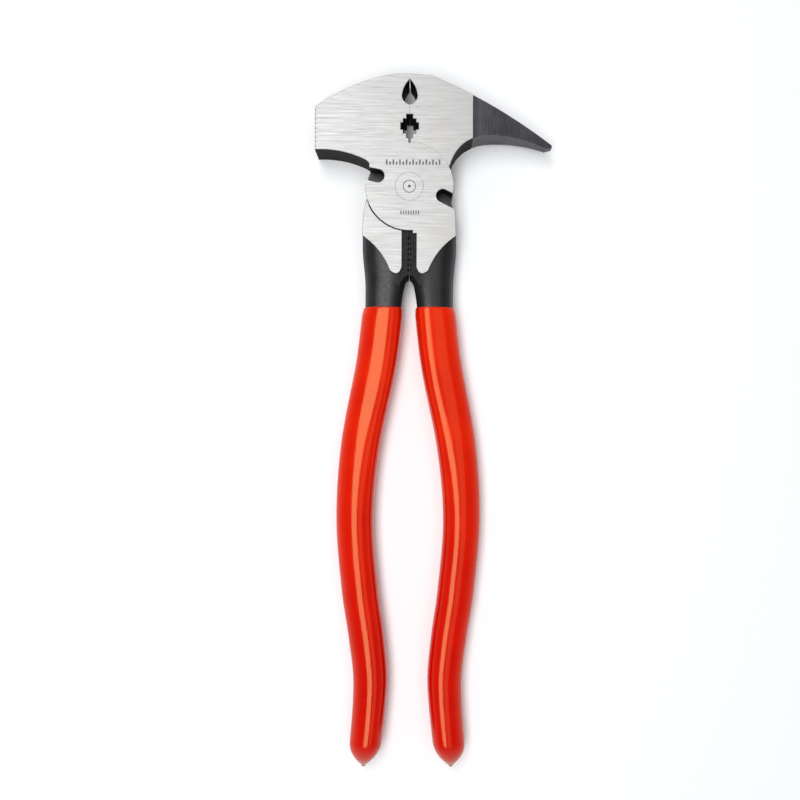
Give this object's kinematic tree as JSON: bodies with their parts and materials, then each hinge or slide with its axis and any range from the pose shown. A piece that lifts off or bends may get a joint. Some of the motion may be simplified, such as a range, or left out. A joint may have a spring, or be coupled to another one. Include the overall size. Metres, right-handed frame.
{
  "type": "fencing pliers",
  "caption": "Fencing pliers with a hammer jaw, a spike jaw, wire and staple holes between the jaws, side wire notches, a toothed throat and dipped grips.",
  "frame": {"origin": "pivot axis at the rear ground face, on which the tool rests when it lies flat", "axes": "+Y from the pivot to the top of the jaws, +X towards the spike, +Z out of the front face along the pivot axis"},
  "size_m": [0.0905, 0.265, 0.014],
  "materials": {
    "forged_steel": "ground faces on black oxide forgings",
    "rivet_steel": "ground flush",
    "grip_vinyl": "glossy dip coating"
  },
  "bodies": {
    "spike_side": {"spike_lever": "forged_steel", "pivot_rivet": "rivet_steel", "left_grip": "grip_vinyl"},
    "hammer_side": {"hammer_lever": "forged_steel", "right_grip": "grip_vinyl"}
  },
  "joints": [
    {"name": "pivot", "type": "hinge", "parent": "spike_side", "child": "hammer_side", "pos_m": [0, 0, 0], "axis": [0, 0, 1], "range_deg": [0, 42]}
  ]
}
